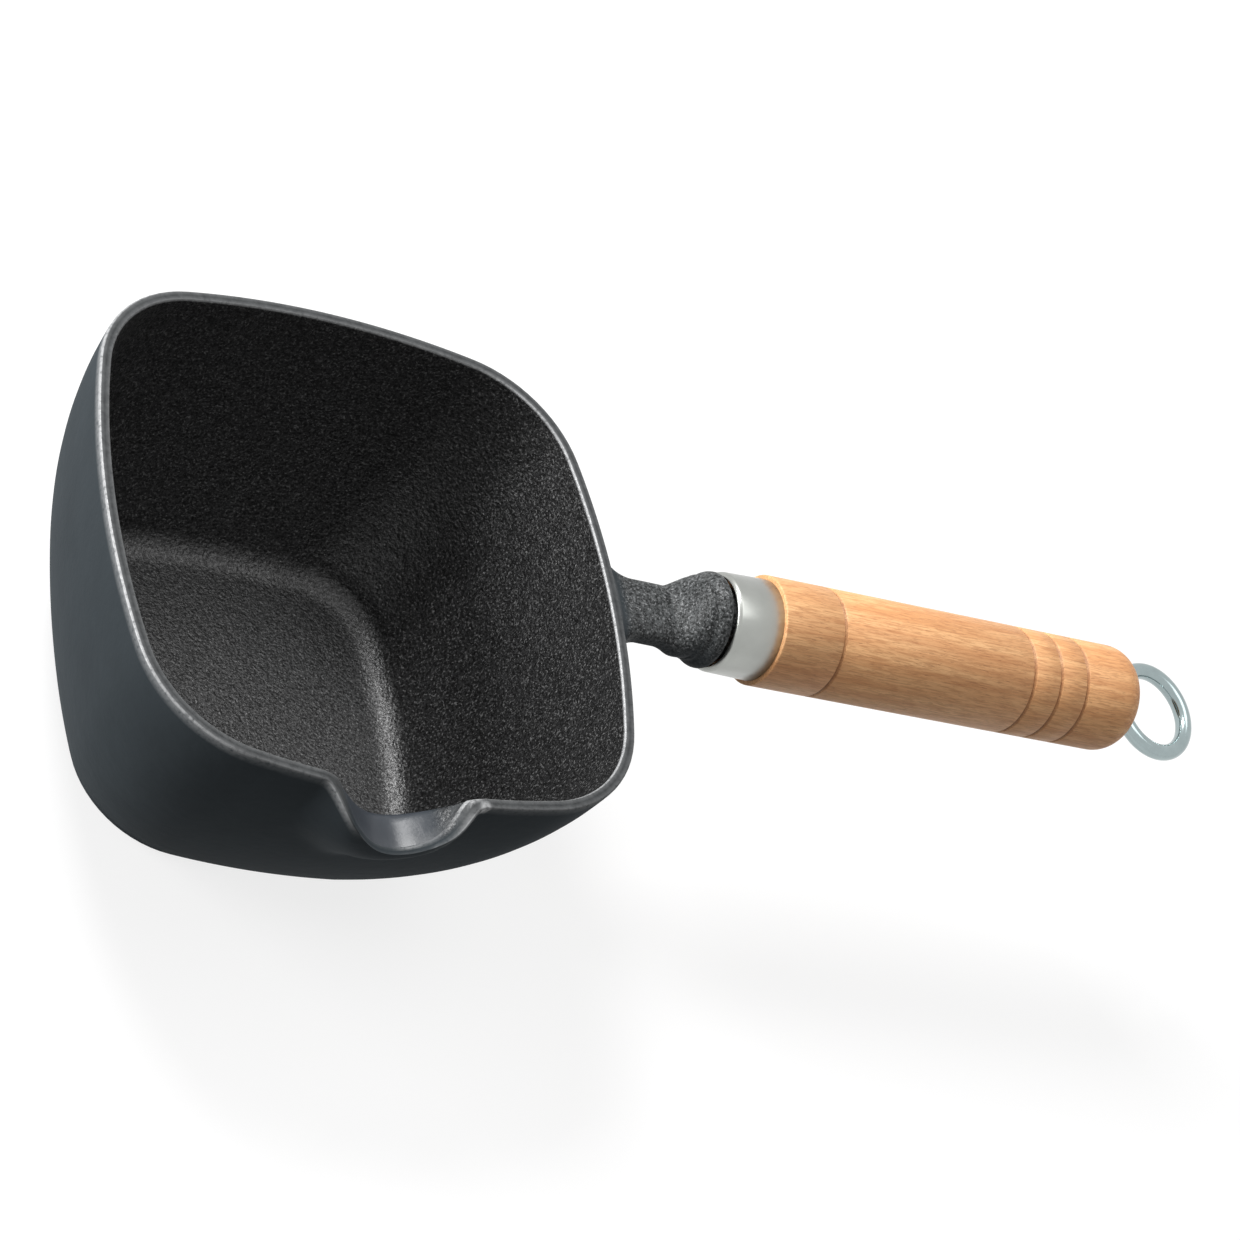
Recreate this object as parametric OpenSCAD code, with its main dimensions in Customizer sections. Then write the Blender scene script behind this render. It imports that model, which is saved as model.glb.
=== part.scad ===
// Deep square cast pan with a side pouring lip and a turned wooden handle.
// Millimetres, +Z up. The origin is the middle of the flat base, on its underside.
// +X runs along the handle, and the pouring lip is on the -Y side.

/* [Pan] */
// Size of the rim along the handle, over the outside
pan_l = 150; // [130:1:180]
// Size of the rim across the handle, over the outside
pan_w = 150; // [130:1:180]
// Height from the base to the rim
pan_h = 80; // [60:1:95]
// Radius of the bulging sides, seen from above at the rim
side_r = 232; // [180:2:320]
// Radius of the corners, seen from above at the rim
corner_r = 35; // [25:1:42]
// Radius of the sides at the base
base_side_r = 236; // [180:2:320]
// Radius of the corners at the base, before the rounded lower edge
base_corner_r = 29.5; // [20:0.5:34]
// Lean of the walls, in degrees from upright
wall_lean = 18; // [8:0.5:20]
// How far the walls bow outwards half way up
wall_bow = 5.2; // [0:0.1:7]
// Radius of the rounded edge under the base
base_edge_r = 6.8; // [2:0.2:10]

/* [Thickness] */
// Width of the flat band on top of the rim
rim_t = 3; // [2.5:0.1:5]
// Thickness of the wall where it meets the floor
foot_t = 4; // [3:0.1:6]
// Thickness of the floor
floor_t = 4; // [3:0.1:8]
// Radius between the wall and the floor inside
floor_r = 10; // [4:0.5:16]
// Softening of the two edges of the rim band
rim_edge = 0.6; // [0.2:0.1:1]

/* [Pouring lip] */
// Width of the lip, seen from above
lip_w = 45; // [30:1:56]
// Place of the lip along the side, from its middle towards the handle
lip_x = -2; // [-12:0.5:12]
// How far the lip stands out of the side
lip_out = 9; // [4:0.5:14]
// How far the lip dips under the rim
lip_dip = 12.8; // [6:0.2:18]
// Fall of the channel from the lip's edge back into the pan
lip_fall = 0.8; // [0.4:0.1:2]
// Height over which the swelling under the lip runs out into the wall
lip_fade = 26; // [15:1:40]

/* [Neck] */
// Depth of the handle's axis under the rim, at the collar
axis_drop = 2; // [0:0.1:5]
// Rise of the handle's axis towards its end, in degrees
handle_rise = 0.55; // [0:0.05:12]
// Length of the neck, from the rim to the collar's end face
neck_len = 29.6; // [24:0.1:50]
// Width of the neck at its waist
neck_w = 18.6; // [14:0.2:22]
// Height of the neck at its waist
neck_t = 7.8; // [7:0.2:12]
// Distance from the rim to where the neck starts to swell into the collar
neck_waist = 12.5; // [5:0.5:16]
// How much further along the top of the neck starts to rise
neck_crest = 5; // [0:0.5:6]
// Radius of the fillet between the neck and the wall
neck_fillet = 7; // [4:0.5:12]
// Diameter of the round collar
collar_d = 26.2; // [24:0.2:34]
// Length of the collar
collar_len = 5; // [2:0.2:6]
// How much thinner the collar is at its front, on the radius
collar_taper = 1.9; // [0.3:0.1:2]
// Radius of the collar's shoulder
collar_r = 1; // [0.4:0.1:1.4]
// Diameter of the spigot that enters the ferrule
spigot_d = 20.6; // [16:0.2:26]
// Length of the spigot
spigot_len = 4; // [3:0.5:10]
// Depth of the threaded hole behind the spigot's face
socket_depth = 14; // [10:0.5:15]

/* [Ferrule] */
// Black gap between the collar and the ferrule
ferrule_gap = 1; // [0.5:0.1:5]
// Length of the ferrule
ferrule_len = 14.5; // [10:0.1:25]
// Outer diameter of the ferrule at its front, by the neck
ferrule_front_d = 27.2; // [26:0.1:34]
// Outer diameter of the ferrule at its back, by the wood
ferrule_back_d = 27.8; // [26:0.1:34]
// Diameter of the opening at the ferrule's front
ferrule_mouth_d = 25; // [22:0.2:28]
// Radius of the ferrule's rounded front edge
ferrule_nose = 1.5; // [1.2:0.1:4]
// Thickness of the ferrule's sheet
ferrule_t = 0.8; // [0.5:0.1:1.2]

/* [Wooden handle] */
// Diameter of the wood
grip_d = 30.2; // [28:0.1:38]
// Length of the wood outside the ferrule
grip_len = 126.4; // [100:0.2:180]
// Radius of the rounded end
grip_end_r = 8.5; // [3:0.5:12]
// Distance from the ferrule to the single front groove
groove_front = 19.6; // [10:0.2:40]
// Distance from the end of the wood to the last groove
groove_back = 23; // [16:0.5:40]
// Distance between the three back grooves
groove_pitch = 9.4; // [5:0.1:12]
// Number of back grooves
groove_count = 3; // [1:1:4]
// Width of a groove
groove_w = 1.3; // [0.6:0.1:2.5]
// Depth of a groove
groove_d = 0.8; // [0.3:0.1:1.5]
// Clearance round the rod in the wood
bore_gap = 0.3; // [0.1:0.05:0.6]
// Diameter of the recess in the end of the wood
recess_d = 13.4; // [12:0.2:18]
// Depth of the recess in the end of the wood
recess_depth = 12; // [8:0.5:20]

/* [Rod and washer] */
// Diameter of the rod that draws the handle together
rod_d = 6; // [5:0.5:8]
// Running clearance of the screwed ends, on the radius
thread_gap = 0.03; // [0.02:0.01:0.08]
// Room left at the bottom of the threaded hole
rod_end_gap = 1; // [0.5:0.5:3]
// Outer diameter of the washer
washer_d = 12.4; // [11:0.1:16]
// Thickness of the washer
washer_t = 1.6; // [1:0.1:2.5]

/* [Hanging eye] */
// Outer diameter of the eye's ring
eye_d = 30; // [24:0.1:40]
// Thickness of the ring's round wire
eye_wire = 4.7; // [3.5:0.1:6]
// Turn of the ring away from level, as the screw left it
eye_turn = 8.6; // [-90:0.2:90]
// Bend of the ring down from the handle's axis, in degrees
eye_bend = 4.5; // [0:0.1:6]
// Diameter of the eye's round boss
boss_d = 10; // [9:0.1:12]
// How far the ring's back reaches into the recess
eye_sink = 1.2; // [0:0.1:2]

/* [Hidden] */

turned_fn = 96;
half_l = pan_l / 2;
half_w = pan_w / 2;
axis_z = pan_h - axis_drop;

// Stations along the handle, all measured from the middle of the pan
collar_end = half_l + neck_len;
spigot_end = collar_end + spigot_len;
ferrule_front = collar_end + ferrule_gap;
ferrule_back = ferrule_front + ferrule_len;
grip_end = ferrule_back + grip_len;
recess_floor = grip_end - recess_depth;
washer_back = recess_floor + washer_t;
eye_x = grip_end - eye_sink + eye_d / 2;
bend_x = washer_back + 4;
ring_r = (eye_d - eye_wire) / 2;
socket_end = spigot_end - socket_depth;
rod_start = socket_end + rod_end_gap;
boss_end = grip_end + eye_wire / 2 - eye_sink;
rod_stop = boss_end - 1;

cast_col = [0.17, 0.18, 0.19];
steel_col = [0.55, 0.57, 0.55];
wood_col = [0.85, 0.62, 0.42];
zinc_col = [0.75, 0.79, 0.82];

// Smooth step from 0 to 1
function ease(t) = let (s = min(1, max(0, t))) s * s * (3 - 2 * s);
function mix(a, b, t) = a + (b - a) * t;

// Outline of the pan seen from above. Each quarter is half a bulging side, a corner and
// half the next side, so every outline has the same number of points in the same places.
corner_n = 10;
plain_n = 5;
lip_n = 14;
lip_rest_n = 3;

// Shares of a half side, from its middle to its corner, that carry a point
function plain_steps() = [for (i = [0 : plain_n - 1]) i / plain_n];
function lip_steps(share) = concat([for (i = [0 : lip_n - 1]) share * i / lip_n],
    [for (i = [0 : lip_rest_n - 1]) mix(share, 1, i / lip_rest_n)]);

function corner_at(a, b, rs, rc) = let (p = [a - rs, 0], q = [0, b - rs], m = (p + q) / 2,
    d = norm(q - p), h = sqrt(pow(rs - rc, 2) - d * d / 4), u = (q - p) / d) m + h * [-u[1], u[0]] *
    (u[0] > 0 ? 1 : -1);

// One quarter, from the middle of the +X side to just short of the middle of the +Y side
function quarter(a, b, rs, rc, y_steps) = let (
    c = corner_at(a, b, rs, rc),
    t1 = atan2(c[1], c[0] - a + rs),
    t2 = atan2(c[1] - b + rs, c[0]),
    n = len(y_steps))
    concat(
        [for (s = plain_steps()) [a - rs + rs * cos(t1 * s), rs * sin(t1 * s)]],
        [for (i = [0 : corner_n - 1]) let (t = mix(t1, t2, i / corner_n)) c + rc * [cos(t), sin(t)]],
        [[c[0] + rc * cos(t2), c[1] + rc * sin(t2)]],
        [for (i = [n - 1 : -1 : 1]) let (t = mix(90, t2, y_steps[i])) [rs * cos(t), b - rs + rs * sin(t)]]);

function backwards(v) = [for (i = [len(v) - 1 : -1 : 0]) v[i]];

lip_share = min(0.9, (lip_w * 0.53 + abs(lip_x)) / corner_at(half_l, half_w, side_r, corner_r)[0]);

function outline(a, b, rs, rc) = let (
    far = quarter(a, b, rs, rc, plain_steps()),
    near = quarter(a, b, rs, rc, lip_steps(lip_share)))
    concat(
        far,
        [[0, b]],
        [for (i = [len(far) - 1 : -1 : 1]) [-far[i][0], far[i][1]]],
        [[-a, 0]],
        [for (i = [1 : len(near) - 1]) [-near[i][0], -near[i][1]]],
        [[0, -b]],
        [for (i = [len(near) - 1 : -1 : 1]) [near[i][0], -near[i][1]]]);

// Inward step of the outer wall at height z: a lean with an outward bow
wall_h = pan_h - rim_edge;
function wall_in(z) = let (u = (wall_h - z) / wall_h)
    (wall_h - z) * tan(wall_lean) - wall_bow * 4 * u * (1 - u);
function wall_slope(z) = let (u = (wall_h - z) / wall_h)
    atan(tan(wall_lean) - wall_bow * 4 * (1 - 2 * u) / wall_h);
function wall_t(z) = mix(foot_t, rim_t, z / pan_h);

// Plan shape of the lip (nearly square) and its dip seen from the side (a wave)
function lip_plan(x, w) = 0.5 + 0.5 * cos(180 * pow(min(1, abs(x - lip_x) / (w / 2)), 2.9));
function lip_wave(x) = 0.5 + 0.5 * cos(180 * min(1, abs(x - lip_x) / (lip_w * 0.53)));

// One point of the pan at outline index i, inward step o and height z
function outline_at(o, z, thin, i) = let (u = min(1, max(0, (pan_h - z) / pan_h)))
    outline(half_l - o, half_w - o, mix(side_r, base_side_r, u) - thin,
        mix(corner_r, base_corner_r, u) - thin)[i];

rim_line = outline(half_l, half_w, side_r, corner_r);
pts_n = len(rim_line);
// Local height of the rim at each outline point, lower along the lip
rim_z = [for (p = rim_line) pan_h - (p[1] < 0 ? lip_dip * lip_wave(p[0]) : 0)];

function push_out(p, amount) = p[1] < 0 ? [p[0], p[1] - amount] : p;

// Outer wall ring: share u of the way from the base fillet to the rim
foot_slope = wall_slope(base_edge_r * 0.5);
foot_z = base_edge_r * (1 - sin(foot_slope));
foot_in = wall_in(foot_z) + base_edge_r * cos(foot_slope);

function outer_ring(u) = [for (i = [0 : pts_n - 1]) let (
    top = rim_z[i] - rim_edge, z = mix(foot_z, top, u),
    p = outline_at(wall_in(z), z, 0, i),
    fade = 1 - ease((rim_z[i] - z - 2) / lip_fade),
    q = push_out(p, lip_out * lip_plan(rim_line[i][0], lip_w) * fade)) [q[0], q[1], z]];

function base_ring(t) = [for (i = [0 : pts_n - 1]) let (
    z = base_edge_r * (1 - sin(t)), o = foot_in - base_edge_r * cos(t),
    p = outline_at(o, 0, max(0, o - foot_in + base_edge_r), i)) [p[0], p[1], z]];

// Rim ring: inward step o from the outer edge, drop d under the local rim
function rim_ring(o, d) = [for (i = [0 : pts_n - 1]) let (
    p = outline_at(o, pan_h, o, i),
    q = push_out(p, lip_out * lip_plan(rim_line[i][0], lip_w - 2.5 * o))) [q[0], q[1], rim_z[i] - d]];

// Inner wall ring: share u of the way down to the floor fillet
in_slope = wall_slope(floor_t + floor_r * 0.5);
in_z = floor_t + floor_r * (1 - sin(in_slope));
in_foot = wall_in(in_z) + wall_t(in_z) + floor_r * cos(in_slope);

function inner_ring(u) = [for (i = [0 : pts_n - 1]) let (
    z = mix(rim_z[i] - rim_edge - lip_fall, in_z, u), t = wall_t(z),
    p = outline_at(wall_in(z) + t, z, t, i)) [p[0], p[1], z]];

function floor_ring(t) = [for (i = [0 : pts_n - 1]) let (
    z = floor_t + floor_r * (1 - sin(t)), o = in_foot - floor_r * cos(t),
    p = outline_at(o, in_z, wall_t(in_z) + max(0, o - in_foot + floor_r), i)) [p[0], p[1], z]];

// Closed solid through a list of rings that all have the same number of points
module loft(rings) {
    n = len(rings[0]);
    m = len(rings);
    pts = [for (r = rings, p = r) p];
    sides = [for (k = [0 : m - 2], i = [0 : n - 1]) let (j = (i + 1) % n)
        each [[k * n + i, (k + 1) * n + j, k * n + j], [k * n + i, (k + 1) * n + i, (k + 1) * n + j]]];
    caps = [[for (i = [0 : n - 1]) i], [for (i = [n - 1 : -1 : 0]) (m - 1) * n + i]];
    polyhedron(points = pts, faces = concat(caps, sides), convexity = 6);
}

module pan_shell() {
    loft(concat(
        [for (k = [4 : -1 : 1]) base_ring(mix(foot_slope, 90, k / 4))],
        [for (u = [0, 0.18, 0.36, 0.52, 0.66, 0.77, 0.86, 0.93, 1]) outer_ring(u)],
        [rim_ring(rim_edge, 0), rim_ring(rim_t - rim_edge, 0), rim_ring(rim_t, rim_edge)],
        [for (u = [0, 0.12, 0.3, 0.5, 0.7, 0.86, 1]) inner_ring(u)],
        [for (k = [1 : 5]) floor_ring(mix(in_slope, 90, k / 5))]));
}

// The neck: a rounded bar that leaves the wall just under the rim and swells into the collar
neck_root = half_l - rim_t * 0.55;
collar_start = collar_end - collar_len;
neck_top = pan_h - 0.3;
neck_n = 28;

function swelling(x, late) = let (from = half_l + neck_waist + late)
    ease((x - from) / (collar_start - 0.6 - from));

function neck_ring(x) = let (
    swell = swelling(x, 0),
    root = max(0, min(1, (half_l + neck_fillet - x) / neck_fillet)),
    flare = neck_fillet * (1 - sqrt(max(0, 1 - root * root * 0.96))),
    in_collar = collar_d / 2 - collar_taper,
    hw = mix(neck_w / 2, in_collar, swell) + flare,
    top = mix(neck_top, axis_z + in_collar, swelling(x, neck_crest)),
    low = mix(neck_top - neck_t, axis_z - in_collar, swell) - flare * 0.8,
    zc = (top + low) / 2, hz = (top - low) / 2, e = mix(0.62, 1, swell))
    [for (i = [0 : neck_n - 1]) let (a = 360 * (i + 0.5) / neck_n, c = cos(a), s = sin(a))
        [x, hw * sign(c) * pow(abs(c), e), zc + hz * sign(s) * pow(abs(s), e)]];

module neck_bar() {
    loft([for (k = [0 : 14]) neck_ring(mix(neck_root, collar_start + 0.5, k / 14))]);
}

// At station x along the handle's axis, which rises from the collar
module along(x = 0) {
    translate([collar_end, 0, axis_z]) rotate([0, -handle_rise, 0]) translate([x - collar_end, 0, 0]) children();
}

// The same, with local +Z along the axis, for what is turned about it
module on_axis(x = 0) {
    along(x) rotate([0, 90, 0]) children();
}

// Quarter circle of points for a rounded edge
function round_edge(cr, cx, r, from, to, n = 6) =
    [for (i = [0 : n]) let (t = mix(from, to, i / n)) [cr + r * cos(t), cx + r * sin(t)]];

spigot_r = min(spigot_d / 2, collar_d / 2 - collar_r - 0.1);
module collar() {
    r = collar_d / 2;
    on_axis() rotate_extrude($fn = turned_fn) polygon(concat(
        [[0, collar_start - 1.5], [r - collar_taper - 1.5, collar_start - 1.5],
            [r - collar_taper, collar_start], [r - collar_taper * 0.3, mix(collar_start, collar_end, 0.33)],
            [r, collar_end - collar_r - 0.3]],
        round_edge(r - collar_r, collar_end - collar_r, collar_r, 0, 90),
        [[spigot_r, collar_end], [spigot_r, spigot_end - 0.6], [spigot_r - 0.6, spigot_end],
            [0, spigot_end]]));
}

module pan_casting() {
    color(cast_col) difference() {
        union() {
            pan_shell();
            neck_bar();
            collar();
        }
        on_axis(socket_end) cylinder(d = rod_d + 2 * thread_gap, h = socket_depth + 1, $fn = turned_fn);
    }
}

// Pressed sleeve whose rounded front edge closes in towards the spigot
ferrule_bore = min(ferrule_front_d, ferrule_back_d) / 2 - ferrule_t;
module ferrule() {
    f = ferrule_front_d / 2;
    b = ferrule_back_d / 2;
    cr = f - ferrule_nose;
    cx = ferrule_front + ferrule_nose;
    mouth = min(ferrule_mouth_d / 2, f - ferrule_t);
    wide = mouth > cr - 0.02;
    outer_end = wide ? max(30, acos(min(1, (mouth - cr) / ferrule_nose))) : 90;
    inner_end = wide ? max(30, acos(min(1, (mouth - cr) / (ferrule_nose - ferrule_t)))) : 90;
    color(steel_col) on_axis() rotate_extrude($fn = turned_fn) polygon(concat(
        [[ferrule_bore, ferrule_back], [b, ferrule_back], [b, ferrule_back - 0.2]],
        round_edge(cr, cx, ferrule_nose, 0, -outer_end, 8),
        wide ? [] : [[mouth, ferrule_front], [mouth, ferrule_front + ferrule_t]],
        round_edge(cr, cx, ferrule_nose - ferrule_t, -inner_end, -20, 4),
        [[ferrule_bore, cx]]));
}

function groove(x, r) = [[r, x - groove_w / 2], [r - groove_d, x], [r, x + groove_w / 2]];

module wood_handle() {
    r = grip_d / 2;
    bore = rod_d / 2 + bore_gap;
    backs = [for (i = [groove_count - 1 : -1 : 0]) grip_end - groove_back - i * groove_pitch];
    color(wood_col) on_axis() rotate_extrude($fn = turned_fn) polygon(concat(
        [[bore, spigot_end], [ferrule_bore - 0.6, spigot_end], [ferrule_bore, spigot_end + 0.6],
            [ferrule_bore, ferrule_back], [r - 0.4, ferrule_back], [r, ferrule_back + 0.4]],
        groove(ferrule_back + groove_front, r),
        [for (x = backs) each groove(x, r)],
        round_edge(r - grip_end_r, grip_end - grip_end_r, grip_end_r, 0, 90, 8),
        [[recess_d / 2, grip_end], [recess_d / 2, recess_floor], [bore, recess_floor]]));
}

module tie_rod() {
    r = rod_d / 2;
    color(steel_col) on_axis() rotate_extrude($fn = turned_fn) polygon([[0, rod_start],
        [r - 0.8, rod_start], [r, rod_start + 0.8], [r, rod_stop - 0.5], [r - 0.5, rod_stop], [0, rod_stop]]);
}

module end_washer() {
    color(zinc_col) on_axis(recess_floor) difference() {
        cylinder(d = washer_d, h = washer_t, $fn = turned_fn);
        translate([0, 0, -1]) cylinder(d = rod_d + 2 * bore_gap, h = washer_t + 2, $fn = turned_fn);
    }
}

module hanging_eye() {
    r = boss_d / 2;
    color(zinc_col) difference() {
        union() {
            along(bend_x) rotate([0, eye_bend, 0]) translate([eye_x - bend_x, 0, 0]) rotate([eye_turn, 0, 0])
                rotate_extrude($fn = turned_fn) translate([ring_r, 0]) circle(d = eye_wire, $fn = 48);
            on_axis() rotate_extrude($fn = turned_fn) polygon([[0, washer_back], [r - 0.5, washer_back],
                [r, washer_back + 0.5], [r, grip_end - 1.5], [eye_wire / 2, boss_end], [0, boss_end]]);
        }
        on_axis(washer_back - 1) cylinder(d = rod_d + 2 * thread_gap, h = rod_stop - washer_back + 1.1,
            $fn = turned_fn);
    }
}

pan_casting();
ferrule();
wood_handle();
tie_rod();
end_washer();
hanging_eye();
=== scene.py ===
import math

import bpy
from mathutils import Matrix, Vector, kdtree


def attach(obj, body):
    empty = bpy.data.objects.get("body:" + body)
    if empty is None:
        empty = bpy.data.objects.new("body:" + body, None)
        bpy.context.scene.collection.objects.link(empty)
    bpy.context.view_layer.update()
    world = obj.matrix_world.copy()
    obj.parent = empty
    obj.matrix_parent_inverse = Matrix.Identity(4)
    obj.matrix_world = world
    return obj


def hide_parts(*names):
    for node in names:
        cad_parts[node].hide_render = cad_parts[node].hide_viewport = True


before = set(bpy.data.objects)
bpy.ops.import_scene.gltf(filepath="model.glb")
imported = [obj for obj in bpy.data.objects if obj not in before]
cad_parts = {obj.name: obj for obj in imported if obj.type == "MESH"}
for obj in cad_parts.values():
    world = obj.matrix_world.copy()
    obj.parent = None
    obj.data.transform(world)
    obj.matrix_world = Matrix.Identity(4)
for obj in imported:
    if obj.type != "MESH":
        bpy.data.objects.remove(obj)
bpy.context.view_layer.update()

MM = 0.001

# ---------------------------------------------------------------- sizes, in millimetres
# The pan: its plan at the rim and at the foot, its walls and rounded edges, and its lip.
PAN_H = 80.0
HALF = 75.0
SIDE_R, CORNER_R = 232.0, 35.0
BASE_SIDE_R, BASE_CORNER_R = 236.0, 29.5
WALL_LEAN, WALL_BOW, BASE_EDGE_R = 18.0, 5.2, 6.8
RIM_T, FOOT_T, FLOOR_T, FLOOR_R, RIM_EDGE = 3.0, 4.0, 4.0, 10.0, 0.6
LIP_W, LIP_X, LIP_OUT, LIP_DIP, LIP_FALL, LIP_FADE = 45.0, -2.0, 9.0, 12.8, 0.8, 26.0
LIP_FADE_START = 2.0    # depth under the rim at which the lip starts to fade into the wall
LIP_POWER = 2.9         # a higher power makes the lip squarer in plan
LIP_WAVE = 0.53         # half the length of the dip in the rim, as a share of the lip's width
LIP_NARROWING = 2.5     # how fast the lip narrows from the rim's outer edge inwards
WALL_H = PAN_H - RIM_EDGE

# The neck and the collar; the ridges are (station, radius) from the collar's start and low radius.
AXIS_Z, RISE = 78.0, math.radians(0.55)
COLLAR_END, SPIGOT_END, SOCKET_END = 104.6, 108.6, 94.6
COLLAR_D, COLLAR_LEN, COLLAR_R, COLLAR_TAPER = 26.2, 5.0, 1.0, 1.9
COLLAR_RIDGES = [(-2.0, -1.5), (-1.5, -0.35), (-1.1, 0.12), (-0.7, 0.30),
                 (-0.2, 0.32), (0.3, 0.30), (0.7, 0.40), (1.1, 0.85)]
SPIGOT_D, SPIGOT_EDGE = 20.6, 0.6
NECK_W, NECK_T, NECK_WAIST, NECK_CREST, NECK_FILLET = 18.6, 7.8, 12.5, 5.0, 7.0
NECK_TOP = PAN_H - 0.3
NECK_SOFTNESS = 0.62    # power of the neck's cross-section: 1 is an ellipse, lower is squarer

# The pieces of the handle, by station along its axis, which rises a little from the collar.
FERRULE_FRONT, FERRULE_BACK = 105.6, 120.1
FERRULE_FRONT_D, FERRULE_BACK_D, FERRULE_MOUTH_D = 27.2, 27.8, 25.0
FERRULE_NOSE, FERRULE_T = 1.5, 0.8
SLEEVE_R = min(FERRULE_FRONT_D, FERRULE_BACK_D) / 2 - FERRULE_T
GRIP_R, GRIP_EDGE_R, GRIP_END_R, GRIP_END = 15.1, 0.45, 8.5, 246.5
GROOVES, GROOVE_W, GROOVE_DEPTH = [139.7, 204.7, 214.1, 223.5], 1.3, 0.8
RECESS_R, RECESS_FLOOR, WASHER_BACK = 6.7, 234.5, 236.1
EYE_D, EYE_WIRE, EYE_TURN, EYE_BEND = 30.0, 4.7, 8.6, 4.5
BEND_X, EYE_X, BOSS_END, ROD_STOP = 240.1, 260.3, 247.65, 246.65
WOOD_BORE_R, ROD_HOLE_R = 3.3, 3.03
THREAD_PITCH, INNER_THREAD_END, OUTER_THREAD_START = 1.0, 5.4, 118.0


# ---------------------------------------------------------------- workshop helpers
def put_all_down():
    if bpy.context.object and bpy.context.object.mode != "OBJECT":
        bpy.ops.object.mode_set(mode="OBJECT")
    bpy.ops.object.select_all(action="DESELECT")


def pick_up(piece):
    put_all_down()
    piece.select_set(True)
    bpy.context.view_layer.objects.active = piece


def settle(piece):
    """Puts the piece's place into its mesh, so that its object sits at the origin."""
    pick_up(piece)
    bpy.ops.object.transform_apply(location=True, rotation=True, scale=True)
    return piece


def close_and_face_outwards(piece):
    pick_up(piece)
    bpy.ops.object.mode_set(mode="EDIT")
    bpy.ops.mesh.select_all(action="SELECT")
    bpy.ops.mesh.remove_doubles(threshold=0.001 * MM)
    bpy.ops.mesh.normals_make_consistent(inside=False)
    bpy.ops.object.mode_set(mode="OBJECT")


def smooth(piece, degrees):
    pick_up(piece)
    bpy.ops.object.shade_smooth_by_angle(angle=math.radians(degrees))


def join_solids(piece, tool, operation="UNION"):
    """Adds a second solid to the piece, or cuts it away, and takes the second one off the scene."""
    pick_up(piece)
    boolean = piece.modifiers.new("Boolean", "BOOLEAN")
    boolean.operation = operation
    boolean.solver = "EXACT"
    boolean.object = tool
    bpy.ops.object.modifier_apply(modifier=boolean.name)
    bpy.data.objects.remove(tool)


def tip(piece, station, degrees):
    """Tips a piece about the point of the level axis at one station, its far end upwards."""
    centre = Vector((station, 0, AXIS_Z)) * MM
    turn = Matrix.Rotation(-math.radians(degrees), 4, "Y")
    piece.matrix_world = (Matrix.Translation(centre) @ turn @ Matrix.Translation(-centre)
                          @ piece.matrix_world)
    return settle(piece)


def set_on_handle(piece):
    """Brings a piece that was made on a level axis onto the rising axis of the handle."""
    return tip(piece, COLLAR_END, math.degrees(RISE))


def on_handle(point):
    """Station along the handle and distance from its axis of one point, in millimetres."""
    dx, dz = point.x / MM - COLLAR_END, point.z / MM - AXIS_Z
    return (COLLAR_END + dx * math.cos(RISE) + dz * math.sin(RISE),
            math.hypot(point.y / MM, dz * math.cos(RISE) - dx * math.sin(RISE)))


def mix(a, b, t):
    return a + (b - a) * t


def ease(t):
    s = min(1.0, max(0.0, t))
    return s * s * (3 - 2 * s)


def grows(value, start, width):
    """0 up to the start, then softly up to 1 over the width."""
    return ease((value - start) / width)


def fades(value, start, width):
    """1 up to the start, then softly down to 0 over the width."""
    return 1 - grows(value, start, width)


def arc(x, r, radius, start, end, steps):
    """Points (station, radius) round an edge; 0 degrees points away from the axis."""
    angles = [math.radians(mix(start, end, k / steps)) for k in range(steps + 1)]
    return [(x + radius * math.sin(a), r + radius * math.cos(a)) for a in angles]


def turned(name, profile, sides, closed=True):
    """Turns a piece about the level axis: a circle is drawn out along the profile.

    A closed profile ends where it starts. Otherwise both its ends are faces across the axis.
    """
    put_all_down()
    x0, r0 = profile[0]
    bpy.ops.mesh.primitive_circle_add(
        vertices=sides, radius=r0 * MM, fill_type="NOTHING",
        location=(x0 * MM, 0, AXIS_Z * MM), rotation=(0, math.pi / 2, 0))
    piece = settle(bpy.context.object)
    piece.name = name
    bpy.ops.object.mode_set(mode="EDIT")
    bpy.ops.mesh.select_all(action="SELECT")
    if not closed:
        bpy.ops.mesh.edge_face_add()
        bpy.ops.mesh.select_all(action="SELECT")
    for (xa, ra), (xb, rb) in zip(profile, profile[1:]):
        bpy.ops.mesh.extrude_region_move(
            TRANSFORM_OT_translate={"value": ((xb - xa) * MM, 0, 0)})
        bpy.ops.transform.resize(
            value=(1, rb / ra, rb / ra), center_override=(xb * MM, 0, AXIS_Z * MM))
    bpy.ops.object.mode_set(mode="OBJECT")
    close_and_face_outwards(piece)
    return piece


def drawn_through(name, rings):
    """A shell drawn out ring by ring: the end face is extruded and set on the next ring."""
    put_all_down()
    bpy.ops.mesh.primitive_circle_add(vertices=len(rings[0]), radius=1, fill_type="NGON")
    piece = bpy.context.object
    piece.name = name
    around = [math.atan2(v.co.y, v.co.x) % (2 * math.pi) for v in piece.data.vertices]
    order = sorted(range(len(around)), key=lambda v: around[v])
    for k, ring in enumerate(rings):
        if k:
            bpy.ops.object.mode_set(mode="EDIT")
            bpy.ops.mesh.extrude_region_move()
            bpy.ops.object.mode_set(mode="OBJECT")
            end_face = {tuple(v.co): v.index for v in piece.data.vertices if v.select}
            order = [end_face[place] for place in places]
        for v, point in zip(order, ring):
            piece.data.vertices[v].co = Vector(point) * MM
        places = [tuple(piece.data.vertices[v].co) for v in order]
    close_and_face_outwards(piece)
    return piece


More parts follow.
